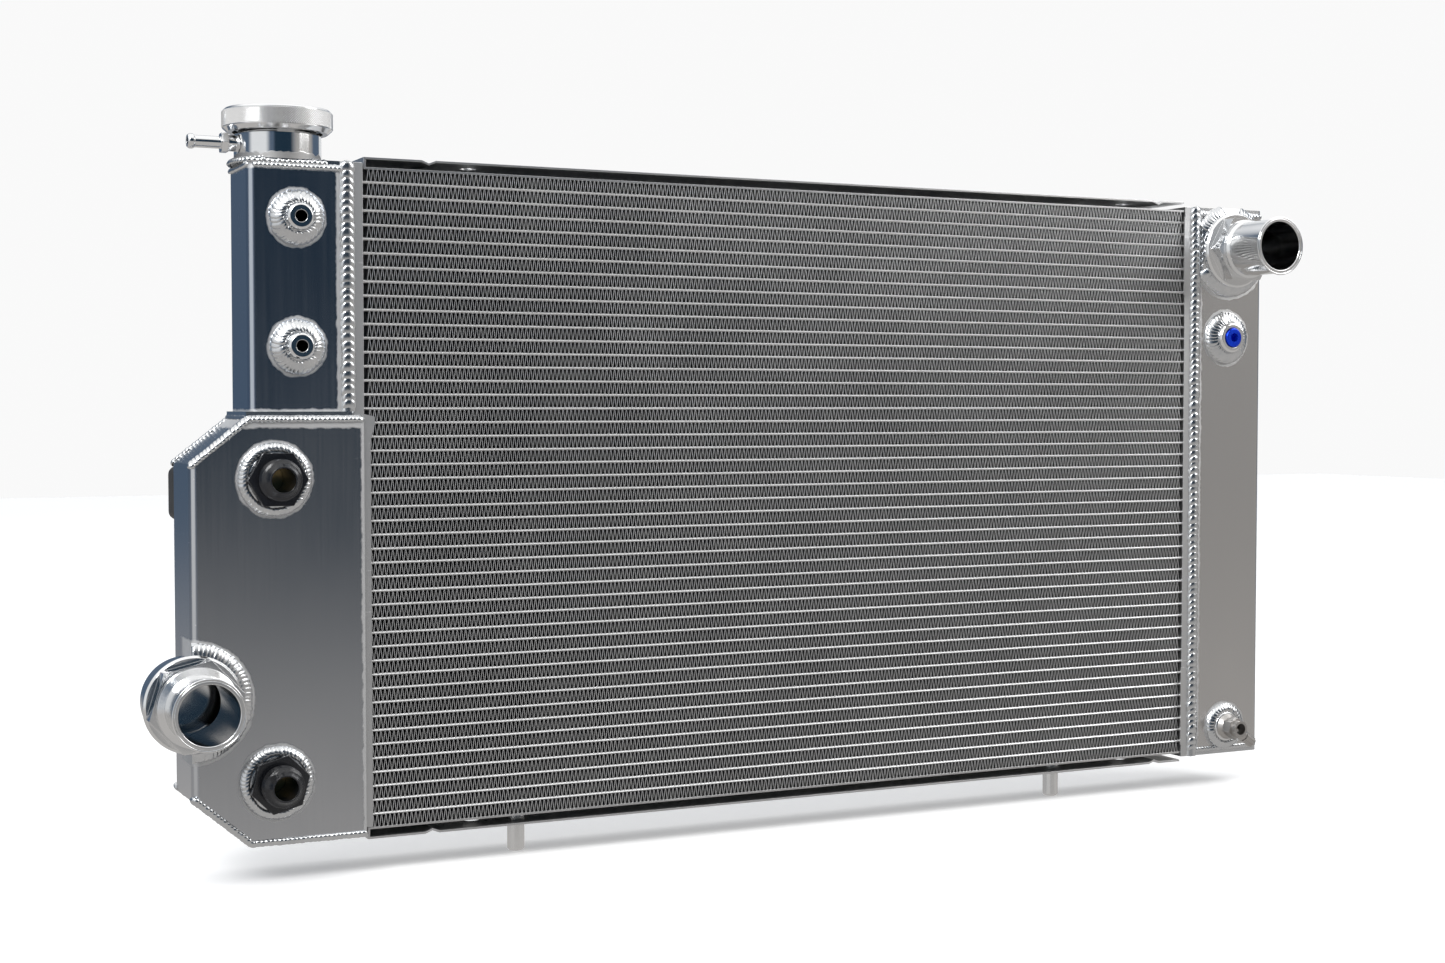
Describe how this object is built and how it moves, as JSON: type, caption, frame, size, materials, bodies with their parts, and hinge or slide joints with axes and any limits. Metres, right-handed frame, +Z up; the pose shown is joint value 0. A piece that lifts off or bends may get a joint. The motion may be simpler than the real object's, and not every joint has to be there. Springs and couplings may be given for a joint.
{
  "type": "car radiator",
  "caption": "Welded aluminium crossflow radiator: finned tube core, stepped end tank with filler cap, hose necks, cooler fittings and drain tap.",
  "frame": {"origin": "middle of the bottom side rail's flat underside, which the radiator is seated on", "axes": "+X along the core from the stepped tank to the plain tank, -Y towards the engine side where the necks and fittings stand out, +Z up"},
  "size_m": [0.9298, 0.138, 0.5207],
  "materials": {
    "tank_aluminium": "satin mill finish with long mirror-like reflections",
    "header_aluminium": "matte mill finish",
    "core_aluminium": "bright clad tube edge",
    "fin_aluminium": "thin louvred strip, satin",
    "rail_aluminium": "satin mill finish",
    "polished_aluminium": "turned and polished",
    "weld_bead": "bright rippled weld",
    "black_anodised": "black anodised, glossy",
    "blue_anodised": "blue anodised",
    "plated_steel": "plated steel",
    "spring_steel": "drawn wire",
    "brass": "bare brass",
    "rubber": "matt black rubber"
  },
  "bodies": {
    "radiator": {"core_tubes_front": "core_aluminium", "core_tubes_rear": "core_aluminium", "core_fins": "fin_aluminium", "left_header_plate": "header_aluminium", "right_header_plate": "header_aluminium", "left_core_edge_strip": "header_aluminium", "right_core_edge_tabs": "header_aluminium", "bottom_side_rail": "rail_aluminium", "top_side_rail": "rail_aluminium", "left_locating_pin": "polished_aluminium", "right_locating_pin": "polished_aluminium", "left_upper_tank_shell": "tank_aluminium", "left_upper_tank_lid": "tank_aluminium", "left_lower_tank_shell": "tank_aluminium", "left_lower_tank_top_plate": "tank_aluminium", "left_lower_tank_bottom_plate": "tank_aluminium", "right_tank_shell": "tank_aluminium", "right_tank_top_plate": "tank_aluminium", "right_tank_bottom_plate": "tank_aluminium", "lower_sensor_bung": "polished_aluminium", "upper_sensor_bung": "polished_aluminium", "lower_cooler_bung": "polished_aluminium", "upper_cooler_bung": "polished_aluminium", "lower_cooler_fitting": "black_anodised", "upper_cooler_fitting": "black_anodised", "cooler_port_seals": "rubber", "oil_cooler_plates": "brass", "oil_cooler_spacers": "brass", "lower_hose_bung": "polished_aluminium", "lower_hose_neck": "polished_aluminium", "lower_hose_seal": "rubber", "upper_hose_bung": "polished_aluminium", "upper_hose_neck": "polished_aluminium", "upper_hose_seal": "rubber", "filler_neck": "polished_aluminium", "overflow_barb": "polished_aluminium", "plug_bung": "polished_aluminium", "port_plug": "blue_anodised", "plug_seal": "rubber", "drain_bung": "polished_aluminium", "drain_body": "plated_steel", "rear_rubber_pad": "rubber", "lower_hose_weld": "weld_bead", "upper_hose_weld": "weld_bead", "fitting_welds": "weld_bead", "left_tank_welds": "weld_bead", "lower_tank_welds": "weld_bead", "tank_step_weld": "weld_bead", "right_tank_welds": "weld_bead", "filler_neck_weld": "weld_bead"},
    "cap_core": {"cap_backing_plate": "plated_steel", "cap_top_gasket": "rubber", "cap_spring": "spring_steel"},
    "cap_turn_shell": {"cap_shell": "polished_aluminium"},
    "pressure_valve": {"cap_pressure_plate": "plated_steel", "cap_pressure_seal": "rubber"},
    "vent_valve": {"cap_vent_valve": "brass"},
    "drain_stem": {"drain_needle": "plated_steel"},
    "drain_grip": {"drain_knob": "plated_steel"}
  },
  "joints": [
    {"name": "cap_lift", "type": "slide", "parent": "radiator", "child": "cap_core", "axis": [0, 0, 1], "range_m": [0, 0.06]},
    {"name": "cap_turn", "type": "hinge", "parent": "cap_core", "child": "cap_turn_shell", "pos_m": [-0.3995, 0, 0.4895], "axis": [0, 0, 1], "range_deg": [-90, 0]},
    {"name": "pressure_valve_lift", "type": "slide", "parent": "cap_core", "child": "pressure_valve", "axis": [0, 0, 1], "range_m": [0, 0.003], "stiffness_N_per_m": 3000, "springref_m": -0.01, "deforming": ["cap_spring"]},
    {"name": "vent_valve_lift", "type": "slide", "parent": "pressure_valve", "child": "vent_valve", "axis": [0, 0, 1], "range_m": [0, 0.0011]},
    {"name": "drain_travel", "type": "slide", "parent": "radiator", "child": "drain_stem", "axis": [0.8192, 0, -0.5736], "range_m": [0, 0.003]},
    {"name": "drain_turn", "type": "hinge", "parent": "drain_stem", "child": "drain_grip", "pos_m": [0.3935, -0.0404, 0.027], "axis": [0.8192, 0, -0.5736], "range_deg": [0, 1080]}
  ],
  "couplings": [
    {"joint": "drain_turn", "follows": "drain_travel", "rad_per_m": 6283}
  ]
}
